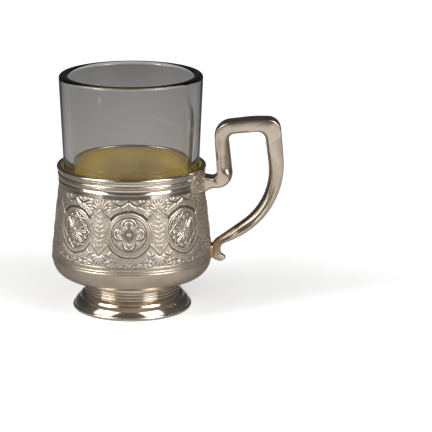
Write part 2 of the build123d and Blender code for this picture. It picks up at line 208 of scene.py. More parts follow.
def grid_faces(columns, rows, wrap_columns, wrap_rows):
    """Quads over a grid of vertices counted column by column."""
    faces = []
    for column in range(columns if wrap_columns else columns - 1):
        beside = (column + 1) % columns
        for row in range(rows if wrap_rows else rows - 1):
            above = (row + 1) % rows
            faces.append(
                (column * rows + row, beside * rows + row, beside * rows + above, column * rows + above)
            )
    return faces


def end_faces(columns, rows):
    """Faces that close the first and the last column of such a grid."""
    return [tuple(range(rows)), tuple((columns - 1) * rows + row for row in range(rows))]


def round_axis(angles, radii, heights):
    """Vertices at these angles, radii and heights about the upright axis."""
    places = np.broadcast_arrays(np.cos(angles) * radii, np.sin(angles) * radii, heights)
    return np.stack(places, axis=-1).reshape(-1, 3)


def turned(name, profile, gap=0.0, segments=288, sharp=35):
    """Mesh turned from (radius, height) points; gap is a half angle left open about +X."""
    profile = np.array(profile, float)
    on_axis = profile[0, 0] == 0 and profile[-1, 0] == 0
    columns = segments + 1 if gap else segments
    angles = gap + (2 * pi - 2 * gap) * np.arange(columns) / segments
    rows = len(profile)
    vertices = round_axis(angles[:, None], profile[:, 0], profile[:, 1])
    faces = grid_faces(columns, rows, not gap, not on_axis)
    if gap:
        faces += end_faces(columns, rows)
    return new_mesh(name, vertices, faces, sharp)


# ======== materials
evenly = (1, 1, 1)
turning_lines = (1, 1, 14)


def nodes_of(name):
    """A new material, its nodes, its links and its shader."""
    material = bpy.data.materials.new(name)
    material.use_nodes = True
    tree = material.node_tree
    return material, tree.nodes, tree.links, tree.nodes["Principled BSDF"]


def noise(nodes, links, stretch, scale, detail):
    """Noise over the object's own coordinates, stretched along its axes."""
    place = nodes.new("ShaderNodeTexCoord")
    mapping = nodes.new("ShaderNodeMapping")
    mapping.inputs["Scale"].default_value = stretch
    texture = nodes.new("ShaderNodeTexNoise")
    texture.inputs["Scale"].default_value = scale
    texture.inputs["Detail"].default_value = detail
    links.new(place.outputs["Object"], mapping.inputs["Vector"])
    links.new(mapping.outputs["Vector"], texture.inputs["Vector"])
    return texture.outputs["Fac"]


def ramp(nodes, links, factor, *stops):
    """Colour by a factor, through (position, colour) stops."""
    node = nodes.new("ShaderNodeValToRGB")
    while len(node.color_ramp.elements) < len(stops):
        node.color_ramp.elements.new(0.5)
    for element, (position, colour) in zip(node.color_ramp.elements, stops):
        element.position = position
        element.color = (*colour, 1)
    links.new(factor, node.inputs["Fac"])
    return node.outputs["Color"]


def mixed(nodes, links, factor, first, second, blend="MIX"):
    """Mix of two colours by a factor."""
    # A colour mix takes its factor at input 0 and its colours at 6 and 7, and gives output 2.
    node = nodes.new("ShaderNodeMix")
    node.data_type = "RGBA"
    node.blend_type = blend
    for socket, value in ((0, factor), (6, first), (7, second)):
        if isinstance(value, bpy.types.NodeSocket):
            links.new(value, node.inputs[socket])
        else:
            node.inputs[socket].default_value = value
    return node.outputs[2]


def span(nodes, links, value, lowest, highest, start=0.0, end=1.0):
    """Number that goes from lowest to highest while a value goes from start to end."""
    node = nodes.new("ShaderNodeMapRange")
    node.inputs["From Min"].default_value = start
    node.inputs["From Max"].default_value = end
    node.inputs["To Min"].default_value = lowest
    node.inputs["To Max"].default_value = highest
    links.new(value, node.inputs["Value"])
    return node.outputs["Result"]


def vector_math(nodes, links, operation, value, other=(0, 0, 0)):
    """Node for a vector operation on a value and a fixed vector."""
    node = nodes.new("ShaderNodeVectorMath")
    node.operation = operation
    node.inputs[1].default_value = other
    links.new(value, node.inputs[0])
    return node


def add_bump(nodes, links, shader, height, strength, distance):
    """Makes a surface look uneven, by a distance in metres."""
    bump = nodes.new("ShaderNodeBump")
    bump.inputs["Strength"].default_value = strength
    bump.inputs["Distance"].default_value = distance
    links.new(height, bump.inputs["Height"])
    links.new(bump.outputs["Normal"], shader.inputs["Normal"])


def metal(name, bright, dull, dark, gloss, grain, scratch, metallic=1.0):
    """Worn metal: bright and dull patches, dark where its marks lie, with a fine finish.

    gloss is the lowest and highest roughness, grain the stretch of the finish lines,
    scratch how deep they look; a matt gilding is less than fully metallic.
    """
    material, nodes, links, shader = nodes_of(name)
    stain_roughness = 0.3
    patches = noise(nodes, links, evenly, scale=95, detail=3)
    fine = noise(nodes, links, grain, scale=900, detail=4)
    colour = ramp(nodes, links, patches, (0.36, dull), (0.64, bright))
    # The marks hold patina in the hollows of the silver, and painted shade on the gilding under the rim.
    marks = nodes.new("ShaderNodeAttribute")
    marks.attribute_name = "tarnish_and_painted_shade"
    depth = nodes.new("ShaderNodeMath")
    depth.operation = "MULTIPLY"
    links.new(marks.outputs["Fac"], depth.inputs[0])
    links.new(span(nodes, links, patches, 0.72, 1.12), depth.inputs[1])
    depth.use_clamp = True
    colour = mixed(nodes, links, depth.outputs[0], colour, (*dark, 1))
    links.new(colour, shader.inputs["Base Color"])
    rough = nodes.new("ShaderNodeMath")
    rough.operation = "MULTIPLY_ADD"
    rough.inputs[1].default_value = stain_roughness
    links.new(depth.outputs[0], rough.inputs[0])
    links.new(span(nodes, links, fine, gloss[0], gloss[1]), rough.inputs[2])
    links.new(rough.outputs[0], shader.inputs["Roughness"])
    add_bump(nodes, links, shader, fine, strength=scratch, distance=0.00002)
    shader.inputs["Metallic"].default_value = metallic
    return material


silver_bright = (0.88, 0.775, 0.665)
silver_dull = (0.75, 0.645, 0.535)
tarnish_dark = (0.085, 0.068, 0.052)
solder_brown = (0.46, 0.32, 0.16)
gilt_shadow = (0.10, 0.07, 0.02)
chased_silver = metal(
    "chased_silver", silver_bright, silver_dull, tarnish_dark,
    gloss=(0.30, 0.44), grain=evenly, scratch=0.5,
)
satin_silver = metal(
    "satin_silver", (0.70, 0.59, 0.475), (0.59, 0.485, 0.38), tarnish_dark,
    gloss=(0.26, 0.36), grain=turning_lines, scratch=0.12,
)
polished_silver = metal(
    "polished_silver", (0.85, 0.765, 0.66), (0.71, 0.615, 0.50), tarnish_dark,
    gloss=(0.09, 0.17), grain=turning_lines, scratch=0.12,
)
handle_silver = metal(
    "handle_silver", (0.76, 0.645, 0.53), (0.65, 0.54, 0.43), solder_brown,
    gloss=(0.12, 0.19), grain=evenly, scratch=0.03,
)
solder_silver = metal(
    "solder_silver", (0.68, 0.54, 0.38), solder_brown, tarnish_dark,
    gloss=(0.28, 0.42), grain=evenly, scratch=0.3,
)
gilt = metal(
    "gilt", (0.86, 0.67, 0.22), (0.74, 0.56, 0.15), gilt_shadow,
    gloss=(0.16, 0.25), grain=turning_lines, scratch=0.2, metallic=0.7,
)


def blown_glass():
    """Thick clear glass, faintly grey, with slow waves from blowing."""
    material, nodes, links, shader = nodes_of("clear_glass")
    waves = noise(nodes, links, (1, 1, 0.3), scale=40, detail=2)
    tone = ramp(nodes, links, waves, (0.3, (0.89, 0.875, 0.855)), (0.7, (0.92, 0.905, 0.885)))
    links.new(tone, shader.inputs["Base Color"])
    links.new(span(nodes, links, waves, 0.0, 0.02), shader.inputs["Roughness"])
    add_bump(nodes, links, shader, waves, strength=0.25, distance=0.0002)
    shader.inputs["Transmission Weight"].default_value = 1.0
    shader.inputs["IOR"].default_value = 1.5
    return material


# ======== relief of the ornament
# Places are millimetres from the middle of a roundel, u or side sideways and v upwards. Inside a
# panel q is sideways from its middle. Wall and rosettes scale these heights to millimetres.
def fade(start, end, value):
    """Smooth step of a value from 0 at start to 1 at end."""
    share = np.clip((value - start) / (end - start), 0, 1)
    return share * share * (3 - 2 * share)


def bead(distance, half_width):
    """Round line: 1 on the line, 0 at its half width."""
    return np.sqrt(np.clip(1 - (distance / half_width) ** 2, 0, 1))


def leaf(u, v, root, tip, width):
    """Pointed leaf with a vein, from its root to its tip."""
    length = hypot(tip[0] - root[0], tip[1] - root[1])
    ahead = ((tip[0] - root[0]) / length, (tip[1] - root[1]) / length)
    along = ((u - root[0]) * ahead[0] + (v - root[1]) * ahead[1]) / length
    across = (v - root[1]) * ahead[0] - (u - root[0]) * ahead[1]
    inside = np.clip(along, 0, 1)
    outline = 2.6 * width * np.sqrt(inside) * (1 - inside) + 0.01
    vein = 1 - 0.45 * np.exp(-((across / 0.16) ** 2))
    return bead(across, outline) * vein * ((along > 0) & (along < 1))


def curl(u, v, centre, radius, opening, hand):
    """Scroll that winds inwards once to a bud, from its opening angle."""
    reach = np.hypot(u - centre[0], v - centre[1])
    turn = (hand * (np.arctan2(v - centre[1], u - centre[0]) - radians(opening))) % (2 * pi)
    line = radius * (1 - 0.55 * turn / (2 * pi))
    return np.maximum(bead(reach - line, 0.42), 0.9 * bead(reach, 0.36 * radius))


def matting(u, v):
    """Punched ground between the leaves."""
    return np.sin(7.3 * u + 1.7 * np.sin(2.1 * v)) * np.sin(7.9 * v + 1.9 * np.sin(2.3 * u))


def stroke(u, v, start, end, half_width):
    """Straight line with round sides from start to end."""
    ahead = np.array(end, float) - np.array(start, float)
    share = ((u - start[0]) * ahead[0] + (v - start[1]) * ahead[1]) / (ahead @ ahead)
    share = np.clip(share, 0, 1)
    return bead(np.hypot(u - start[0] - share * ahead[0], v - start[1] - share * ahead[1]), half_width)


def strap_relief(u, v):
    """Straps over and under a roundel, with their points, and the ring round it."""
    reach = np.hypot(u, v)
    height = np.abs(v)
    side = np.abs(u)
    from_upright = np.arctan2(side, height)
    cusp = (side + np.abs(height - strap_outer) - cusp_reach) / np.sqrt(2)
    outside = np.minimum(reach - strap_outer, cusp)
    edge = np.maximum(outside, strap_inner - reach)
    edge = np.maximum(edge, (from_upright - strap_half_angle) * reach)
    hatching = sum(bead(reach - line, 0.26) for line in (12.8, 13.65))
    hatching = hatching * (v > 0) * (from_upright > radians(13))
    lower_lines = sum(bead(reach - line, 0.2) for line in (12.6, 13.6)) * (v < 0)
    body = 0.95 * fade(0.1, -0.2, edge) - 0.55 * np.clip(hatching + lower_lines, 0, 1) * (edge < -0.2)
    ring = 0.6 * bead(reach - 10.2, 0.4)
    return np.maximum(body, ring), edge


def outline_groove(u, v):
    """Chased line that follows the point over a roundel and rises to both sides."""
    side = np.abs(u)
    line = stroke(side, v, (0, 16.5), (3.6, 13.9), 0.42)
    line = np.maximum(line, stroke(side, v, (3.6, 13.9), (7.0, 15.2), 0.42))
    return np.maximum(line, bead(np.hypot(u, v - 12.6), 0.4))


def panel_edge(u, q, v):
    """Distance out from the edge of a tall panel; q is measured from the panel's middle."""
    rise = np.abs(v + roundel_height - panel_height)
    slope = atan((panel_half_height - panel_shoulder) / panel_half_width)
    gable = q * sin(slope) + (rise - panel_half_height) * cos(slope)
    circle = panel_circle - np.hypot(u, v)
    return np.maximum(np.maximum(q - panel_half_width, gable), circle)


def panel_leaves(q, v):
    """Low foliage that climbs a stem inside a tall panel."""
    rise = v + roundel_height - panel_height
    height = 0.8 * bead(q, 0.3) * (np.abs(rise) < 8.5)
    twigs = (
        (-7.6, 1.8), (-5.4, 2.7), (-3.0, 3.1), (-0.6, 3.2), (1.8, 2.9), (4.0, 2.2), (6.2, 1.4),
    )
    for foot, reach in twigs:
        height = np.maximum(height, leaf(q, rise, (0.2, foot), (reach, foot + 1.9), 0.6))
        height = np.maximum(height, 0.7 * bead(np.hypot(q - reach * 0.8, rise - foot - 0.1), 0.42))
    height = np.maximum(height, 0.6 * bead(q - 4.1, 0.22) * (np.abs(rise) < 5.0))
    return height


def spandrel_leaves(u, q, v):
    """Palmettes over and under the panels, with scrolls towards the straps."""
    height = np.zeros_like(u)
    above = (
        ((0, 12.4), (0, 16.9), 0.7),
        ((0.3, 12.6), (1.9, 16.7), 0.65),
        ((0.6, 12.3), (3.4, 15.4), 0.65),
        ((0.9, 12.0), (4.3, 13.2), 0.6),
        ((3.6, 11.2), (6.4, 12.2), 0.6),
        ((4.6, 12.9), (7.2, 13.2), 0.5),
        ((6.6, 16.5), (8.6, 15.0), 0.55),
        ((7.4, 14.4), (9.6, 15.6), 0.5),
        ((6.0, 14.0), (8.0, 14.9), 0.45),
        ((9.2, 14.2), (10.6, 16.6), 0.5),
    )
    below = (
        ((0, -10.9), (0, -15.7), 0.8),
        ((0.3, -11.0), (2.1, -15.6), 0.7),
        ((0.6, -10.8), (3.6, -13.8), 0.7),
        ((1.0, -10.5), (4.6, -11.7), 0.65),
        ((3.4, -9.2), (6.0, -10.9), 0.6),
        ((6.2, -12.2), (8.6, -13.2), 0.65),
        ((6.6, -14.2), (9.4, -15.2), 0.6),
        ((6.2, -15.7), (8.4, -15.3), 0.45),
        ((9.2, -14.0), (11.2, -15.6), 0.5),
    )
    for root, tip, width in above + below:
        height = np.maximum(height, leaf(q, v, root, tip, width))
    for across, centre, radius, opening, hand in (
        (q, (5.2, 15.0), 1.25, 200, -1),
        (q, (5.1, -13.9), 1.45, 160, 1),
        (u, (4.9, 15.9), 0.9, 250, 1),
        (u, (4.3, -15.0), 0.95, 110, -1),
    ):
        height = np.maximum(height, curl(across, v, centre, radius, opening, hand))
    height = np.maximum(height, leaf(u, v, (3.4, 15.2), (1.0, 17.0), 0.5))
    height = np.maximum(height, leaf(u, v, (2.9, -15.2), (0.7, -16.0), 0.5))
    return height


def wall_relief(angle, height):
    """Height of the relief in millimetres over the sunk ground, all round the wall."""
    pitch = 2 * pi / roundel_count
    from_roundel = np.abs((angle + pitch / 2) % pitch - pitch / 2)
    radius = ground_radius(height)
    round_wall = radius * angle
    by_hand = 0.13 * np.sin(0.83 * round_wall + 1.1 * np.sin(0.61 * height))
    u = np.abs(radius * np.sin(from_roundel) + by_hand * np.sin(from_roundel * 8))
    q = radius * np.sin(pitch / 2 - from_roundel)
    v = height - roundel_height + 0.12 * np.sin(0.71 * round_wall + 0.9 * height)
    straps, strap_edge = strap_relief(u, v)
    edge = panel_edge(u, q, v)
    frame_line = 0.95 * bead(edge + 0.42, 0.42)
    inner_line = 0.75 * bead(edge + 1.25, 0.2)
    field = 0.42 * fade(-0.7, -1.0, edge) + 0.42 * panel_leaves(q, v) * (edge < -1.0)
    field = field + 0.1 * matting(1.1 * round_wall, 0.7 * v) * (edge < -1.0)
    panels = np.maximum(np.maximum(frame_line, inner_line), field)
    reach = np.hypot(u, v)
    free = (strap_edge > 0.2) & (edge > 0.2) & (reach > strap_outer - 1.5)
    leaves = 0.95 * spandrel_leaves(u, q, v) * free
    ground = 0.10 + 0.10 * matting(round_wall, v)
    relief = np.maximum(np.maximum(leaves, ground), np.maximum(straps, panels))
    crescent = 0.35 + 0.55 * fade(-4, 9, v)
    groove = bead(reach - 11.25, crescent) * (edge > 0)
    relief = np.where(outline_groove(u, v) > 0.2, -0.3, relief)
    strength = 1 + 0.16 * np.sin(1.9 * round_wall + 2.3 * np.sin(1.3 * v)) * np.sin(1.7 * v)
    return relief_height * (relief * strength - 0.5 * groove)


def petal_relief(u, v):
    """Rosette of four arched petals with scrolls, round a boss in a plain hollow."""
    reach = np.hypot(u, v)
    side = np.abs(u)
    ground = 0.3 + 0.06 * matting(u, v)
    lines = np.maximum(bead(reach - 8.5, 0.26), bead(reach - 7.75, 0.2) * (v < -3.8))
    upper = np.hypot(u, v - 4.3)
    beside = np.hypot(side - 4.7, v - 0.4)
    lower = np.hypot(u, v + 4.4)
    for distance, line, half_width, shown in (
        (upper, 2.75, 0.4, v > 3.0),
        (beside, 1.75, 0.3, side > 4.0),
        (lower, 1.75, 0.3, v < -4.0),
        (upper, 4.15, 0.26, v > 3.0),
        (beside, 3.1, 0.24, side > 3.6),
        (lower, 3.1, 0.24, v < -3.6),
    ):
        lines = np.maximum(lines, bead(distance - line, half_width) * shown)
    height = np.where(lines > 0.2, 0.04, ground)
    for distance, line, half_width, shown, rise in (
        (upper, 3.45, 0.42, v > 2.6, 1.0),
        (beside, 2.45, 0.42, side > 3.4, 1.0),
        (lower, 2.45, 0.42, v < -3.4, 1.0),
        (np.hypot(u, v - 4.6), 1.8, 0.5, v > 3.4, 1.1),
    ):
        height = np.maximum(height, 0.95 * (rise * bead(distance - line, half_width) * shown))
    for centre, radius, opening, hand in (
        ((4.75, 1.35), 0.8, 30, 1),
        ((4.75, -0.6), 0.8, 330, -1),
        ((2.55, 3.0), 0.75, 80, 1),
        ((1.0, -4.75), 0.75, 260, -1),
    ):
        height = np.maximum(height, 0.9 * curl(side, v, centre, radius, opening, hand))
    hollow = (reach < 2.7) | (np.hypot(u / 0.8, (v - 3.9) / 1.6) < 1)
    hollow = hollow | (np.hypot(side - 3.2, v / 0.55) < 1) | (np.hypot(u / 0.5, v + 3.2) < 1)
    height = np.where(hollow, 0.05, height)
    for root, tip in (((3.5, 3.9), (5.9, 6.2)), ((3.3, -3.2), (5.4, -5.6))):
        height = np.maximum(height, 0.8 * leaf(side, v, root, tip, 0.6))
    height = np.maximum(height, 0.6 * bead(reach - 9.15, 0.32))
    return np.maximum(height, bead(reach, 0.95))


def star_relief(u, v):
    """Rosette of two laced squares with channelled leaves that radiate from a boss."""
    reach = np.hypot(u, v)
    height = np.maximum(0.55 * bead(reach - 9.25, 0.28), 0.12 + 0.06 * matting(u, v))
    p = np.maximum(np.abs(u), np.abs(v))
    q = np.minimum(np.abs(u), np.abs(v))
    square = 6.35
    for across in (p, (p + q) / np.sqrt(2)):
        height = np.maximum(height, 0.7 * bead(across - square, 0.3))
    pitch = pi / 4
    turn = np.abs((np.arctan2(v, u) + pitch / 2) % pitch - pitch / 2)
    along = reach * np.cos(turn)
    across = reach * np.sin(turn)
    channel = bead(across - 0.42 * fade(0.8, 3.0, along), 0.3) * (along > 1.2) * (along < 7.4)
    height = np.maximum(height, 0.95 * channel)
    between = np.abs(turn - pitch / 2)
    along = reach * np.cos(between)
    across = reach * np.sin(between)
    height = np.maximum(height, 0.85 * leaf(along, across, (2.4, 0), (6.0, 0), 0.6))
    height = np.maximum(height, 0.9 * bead(np.hypot(along - 7.7, across), 0.55))
    return np.maximum(height, 1.2 * bead(reach, 1.15))


def hollows(relief, depth, wrap):
    """How far a relief lies under its surroundings, 1 at this depth; its first axis may wrap."""
    size = 2
    field = relief
    for axis in (0, 1):
        total = np.zeros_like(field)
        for shift in range(-size, size + 1):
            if axis == 0 and wrap:
                total += np.roll(field, shift, 0)
            else:
                index = np.clip(np.arange(field.shape[axis]) + shift, 0, field.shape[axis] - 1)
                total += np.take(field, index, axis)
        field = total / (2 * size + 1)
    return np.clip((field - relief) / depth, 0, 1)


# ======== wall, chased outside and gilt inside
def make_wall():
    """Wall with its relief; the rows start at the gilt inside and end at the skirt."""
    columns = 800
    relief_rows = 112
    inside = [
        (skirt_radius - wall_thickness, joint_height),
        (skirt_radius - wall_thickness, ornament_low),
        (ground_high_radius - wall_thickness, ornament_high),
        (neck_bore, collar_low),
        (neck_bore, wall_top - 6.0),
        (neck_bore, wall_top - 2.0),
        (neck_bore, wall_top),
    ]
    outside = [
        (neck_radius, wall_top),
        (neck_radius, collar_low),
        (ground_high_radius + plain_band_proud - 0.3, collar_low),
        (ground_high_radius + plain_band_proud, ornament_high + 0.15),
    ]
    heights = np.linspace(ornament_high, ornament_low, relief_rows)
    chased = [(ground_radius(height), height) for height in heights]
    skirt = [(skirt_radius, ornament_low - 0.2), (skirt_radius, joint_height)]
    profile = np.array(inside + outside + chased + skirt)
    angles = 2 * pi * np.arange(columns) / columns
    first = len(inside) + len(outside)
    relief = wall_relief(angles[:, None], heights[None, :])
    radii = np.tile(profile[:, 0], (columns, 1))
    radii[:, first : first + relief_rows] += relief
    marks = np.zeros_like(radii)
    sunk = fade(0.06, -0.08, relief)
    stain = hollows(relief, 0.06, True) * 0.75 + 0.58 * sunk
    marks[:, first : first + relief_rows] = stain
    # Painted shade: the gilding is darker under the rim, and most so towards the handle and away from
    # it.
    beside = np.cos(angles) ** 4
    for below_rim, shade_all_round, more_shade_beside in ((1, 0.5, 0.45), (2, 0.15, 0.75), (3, 0.0, 0.6)):
        marks[:, len(inside) - below_rim] = shade_all_round + more_shade_beside * beside
    rows = len(profile)
    vertices = round_axis(angles[:, None], radii, profile[:, 1])
    mesh = new_mesh("wall_band", vertices, grid_faces(columns, rows, True, True), 60)
    add_marks(mesh, np.clip(marks, 0, 1))
    # Material 0 is the chased silver, 1 the gilt and 2 the polished silver.
    gilt_rows = len(inside) - 1
    by_row = [1] * gilt_rows + [2] * (first - gilt_rows) + [0] * (rows - first)
    slots = [by_row[index % rows] for index in range(columns * rows)]
    mesh.polygons.foreach_set("material_index", slots)
    return mesh


wall_metals = (chased_silver, gilt, polished_silver)
add_piece("wall_chased", make_wall(), "silver_patinated", ["wall_band"], *wall_metals)


# ======== rosettes
def make_rosettes(name, first, relief_of):
    """Four stamped discs that lie on the wall, every other roundel."""
    rings = 56
    spokes = 208
    back = 0.02
    front = 0.08
    rise = 0.4
    vertices = []
    marks = []
    faces = []
    reach = np.concatenate((np.linspace(0.05, rosette_radius, rings), (rosette_radius, 0.05)))
    turn = 2 * pi * np.arange(spokes) / spokes
    u = np.cos(turn)[:, None] * reach
    v = np.sin(turn)[:, None] * reach
    relief = relief_of(u[:, :rings], v[:, :rings])
    lift = np.full(u.shape, back)
    lift[:, :rings] = front + rise * relief
    stain = np.full(u.shape, 0.6)
    stain[:, :rings] = hollows(relief, 0.14, True) * 0.65 + 0.7 * fade(0.3, 0.08, relief)
    rows = rings + 2
    disc = grid_faces(spokes, rows, True, False)
    disc += [tuple(spoke * rows + row for spoke in range(spokes)) for row in (0, rows - 1)]
    for index in range(first, roundel_count, 2):
        height = roundel_height + v
        radius = ground_radius(height)
        angle = index * 2 * pi / roundel_count + np.arcsin(u / radius)
        start = len(vertices) * spokes * rows
        vertices.append(round_axis(angle, radius + lift, height))
        marks.append(stain.ravel())
        faces += [tuple(start + corner for corner in face) for face in disc]
    mesh = new_mesh(name, np.concatenate(vertices), faces, 60)
    add_marks(mesh, np.clip(np.concatenate(marks), 0, 1))
    return mesh


for name, node, first, relief_of in (
    ("rosettes_quatrefoil", "rosettes_petal", 0, petal_relief),
    ("rosettes_laced_star", "rosettes_star", 1, star_relief),
):
    discs = make_rosettes(name, first, relief_of)
    add_piece(name, discs, "silver_patinated", [node], chased_silver)


# ======== rim wire and mouldings
def make_rim_wire():
    """Half round wire that caps the edge of the wall."""
    half_round = (rim_top - moulding_top) / 2 * 0.98
    corners = (
        (neck_radius, moulding_top),
        (rim_radius, moulding_top),
        (rim_radius, rim_top),
        (neck_bore, rim_top),
        (neck_bore, wall_top),
        (neck_radius, wall_top),
    )
    return turned("rim_wire", rounded(corners, (0.1, half_round, half_round, 0.4, 0, 0), 10))


def make_collar_wire():
    """Thin wire under the hollow of the mouldings."""
    corners = rectangle(neck_radius, collar_low, neck_radius + collar_proud, collar_top)
    return turned("collar_wire", rounded(corners, (0, 0.34, 0.34, 0), 8), gap=plate_half_angle)


def make_rim_moulding():
    """Hollow, step, bead, groove and fillet under the rim wire."""
    step_low = collar_top + 1.8
    bead_low = step_low + 0.7
    groove_low = bead_low + 1.5
    fillet_low = groove_low + 0.3
    lip = (neck_radius + collar_proud, collar_top)
    profile = [(neck_radius, collar_top), lip]
    profile += bow(lip, (neck_radius + 0.4, step_low), -0.15)
    profile += rounded(
        (
            (neck_radius + 0.4, step_low - 1),
            (neck_radius + 0.82, step_low),
            (neck_radius + 0.8, bead_low),
            (neck_radius + 0.45, bead_low),
        ),
        (0, 0.12, 0.12, 0),
    )[1:]
    profile += bow((neck_radius + 0.5, bead_low), (neck_radius + 0.5, groove_low), 0.6, 14)
    profile += rounded(
        (
            (neck_radius + 0.45, groove_low),
            (neck_radius + 0.45, fillet_low),
            (neck_radius + 0.9, fillet_low),
            (neck_radius + 0.9, moulding_top),
            (neck_radius, moulding_top),
        ),
        (0, 0.06, 0.14, 0.14, 0),
    )
    return turned("rim_moulding", profile, gap=plate_half_angle)


def make_reeded_band():
    """Two shallow reeds over the joint of wall and bowl, and the leaning fillet above them."""
    reed = 1.2
    groove = 0.12
    reach = band_radius - skirt_radius
    profile = [(skirt_radius, band_low)]
    for step in range(2):
        start = band_low + step * reed
        lower = skirt_radius + reach * (0.92 - 0.22 * step)
        upper = lower - 0.16 * reach
        profile += bow((lower, start + groove), (upper, start + reed - groove), 0.06)
        profile.append((upper - 0.2 * reach, start + reed))
    fillet_low = (skirt_radius + 0.48 * reach, band_low + 2 * reed + groove)
    fillet_high = (skirt_radius + 0.12 * reach, ornament_low - 0.1)
    profile += bow(fillet_low, fillet_high, 0.05)
    profile.append((skirt_radius, ornament_low))
    return turned("reeded_band", profile)


def make_bowl():
    """Spun bowl with a flat floor."""
    thickness = 0.9
    knee = 9.0
    corners = (
        (0, bowl_low),
        (skirt_radius, bowl_low),
        (skirt_radius, joint_height),
        (skirt_radius - thickness, joint_height),
        (skirt_radius - thickness, bowl_low + thickness),
        (0, bowl_low + thickness),
    )
    return turned("bowl", rounded(corners, (0, knee, 0, 0, knee - thickness, 0), 22))


def make_foot_neck():
    """Drawn neck of the foot with three rings."""
    neck_top_radius = foot_neck_radius - 0.45
    bore = neck_top_radius - 1.0
    ring_pitch = 1.55
    profile = [(bore, dome_top), (foot_neck_radius, dome_top)]
    for ring in range(3):
        start = dome_top + ring * ring_pitch
        outside = foot_neck_radius - 0.15 * ring
        profile += bow((outside, start), (outside - 0.15, start + ring_pitch), 0.42, 12)
    profile += [
        (neck_top_radius, dome_top + 3 * ring_pitch),
        (neck_top_radius, bowl_low),
        (bore, bowl_low),
    ]
    return turned("foot_neck", profile)


def make_foot_dome():
    """Spun dome of the foot, open underneath."""
    thickness = 0.8
    step_radius = foot_radius - 3.65
    shoulder_radius = step_radius - 2.0
    bore = foot_neck_radius - 1.45
    hem = foot_wire_inside + thickness
    step_height = 5.5
    profile = [(bore, dome_top - thickness), (bore, dome_top)]
    profile += rounded(
        (
            (bore + 1, dome_top),
            (shoulder_radius, dome_top),
            (shoulder_radius + 0.4, dome_top - 0.4),
        ),
        (0, 0.4, 0),
    )[1:-1]
    profile += bow((shoulder_radius + 0.25, dome_top - 0.2), (step_radius, step_height + 0.35), -0.3)
    profile += bow((step_radius + 0.35, step_height), (hem, foot_wire_top), -0.35, 14)
    profile += [
        (foot_wire_inside, foot_wire_top),
        (step_radius - thickness, step_height - 0.4),
        (shoulder_radius - thickness, dome_top - thickness),
    ]
    return turned("foot_dome", profile)


def make_foot_wire():
    """Half round wire round the edge of the foot."""
    corners = rectangle(foot_wire_inside, 0, foot_radius, foot_wire_top)
    return turned("foot_wire", rounded(corners, (0.2, 0.9, 0.9, 0.1), 9))


for name, mesh, slot, node, material in (
    ("rim_cap_wire", make_rim_wire(), "silver_polished", "rim_wire", polished_silver),
    ("collar_line_wire", make_collar_wire(), "silver_polished", "collar_wire", polished_silver),
    ("rim_bead_moulding", make_rim_moulding(), "silver_polished", "rim_moulding", polished_silver),
    ("reeded_joint_band", make_reeded_band(), "silver_polished", "reeded_band", satin_silver),
    ("bowl_spun", make_bowl(), "silver_satin", "bowl", satin_silver),
    ("foot_ringed_neck", make_foot_neck(), "silver_polished", "foot_neck", polished_silver),
    ("foot_spun_dome", make_foot_dome(), "silver_polished", "foot_dome", polished_silver),
    ("foot_edge_wire", make_foot_wire(), "silver_polished", "foot_wire", polished_silver),
):
    add_piece(name, mesh, slot, [node], material)


# ======== plates under the handle's ends
def make_handle_plate():
    """Curved plate with a raised border and low leaves in its field."""
    columns = 180
    rows = 60
    angles = np.linspace(-plate_half_angle, plate_half_angle, columns)
    shares = np.linspace(0, 1, rows)
    chord = plate_radius * sin(plate_half_angle)
    edge_radius = (chord**2 + plate_rise**2) / (2 * plate_rise)
    across = plate_radius * np.sin(angles)
    lower = plate_low + edge_radius - np.sqrt(edge_radius**2 - across**2)
    heights = lower[:, None] + (moulding_top - lower)[:, None] * shares
    from_side = plate_radius * (plate_half_angle - np.abs(angles))
    border = np.minimum(from_side[:, None], heights - lower[:, None])
    # Places on the plate are millimetres round it from its middle, and above the table.
    side = np.abs(plate_radius * angles)[:, None]
    relief = plate_border_proud * bead(border - plate_border / 2, plate_border / 2)
    leaves = np.zeros_like(heights)
    for root, tip, width in (
        ((5.5, 66.5), (9.5, 69.6), 0.9),
        ((5.5, 65.4), (10.5, 66.6), 0.9),
        ((5.5, 64.2), (9.8, 63.6), 0.9),
        ((10.5, 68.4), (14.5, 70.2), 0.8),
        ((10.8, 66.4), (15.5, 67.8), 0.8),
        ((10.6, 64.9), (14.8, 65.4), 0.8),
        ((15.2, 69.2), (18.8, 70.0), 0.7),
        ((20.9, 67.4), (19.2, 71.6), 0.8),
        ((20.4, 68.6), (16.6, 71.6), 0.8),
        ((19.8, 66.0), (17.6, 64.6), 0.7),
    ):
        leaves = np.maximum(leaves, leaf(side, heights, root, tip, width))
    leaves = np.maximum(leaves, 0.8 * curl(side, heights, (16.8, 66.9), 1.1, 180, 1))
    relief = np.maximum(relief, 0.42 * leaves * (border > plate_border))
    relief = relief + 0.015 * matting(side, heights)
    edge_round = 0.35
    radii = plate_radius + relief
    radii -= edge_round * (1 - np.clip(border / edge_round, 0, 1)) ** 2
    back = np.where(heights < collar_low, ground_radius(heights), neck_radius)
    back = np.minimum(np.maximum(back, neck_radius), radii - 0.15)
    marks = hollows(relief, 0.05, False) * 0.55
    marks = marks + 0.08 * fade(0.05, 0.0, relief) * (border > plate_border)
    ring = np.concatenate((radii, back[:, ::-1]), axis=1)
    level = np.concatenate((heights, heights[:, ::-1]), axis=1)
    stain = np.concatenate((marks, np.zeros_like(marks)), axis=1)
    vertices = round_axis(angles[:, None], ring, level)
    faces = grid_faces(columns, 2 * rows, False, True)
    for start in (0, (columns - 1) * 2 * rows):
        back_start = start + 2 * rows - 1
        for row in range(rows - 1):
            faces.append((start + row, start + row + 1, back_start - row - 1, back_start - row))
    mesh = new_mesh("handle_plate", vertices, faces, 50)
    add_marks(mesh, np.clip(stain, 0, 1))
    return mesh


add_piece(
    "handle_upper_plate", make_handle_plate(), "silver_patinated", ["handle_plate"], chased_silver
)


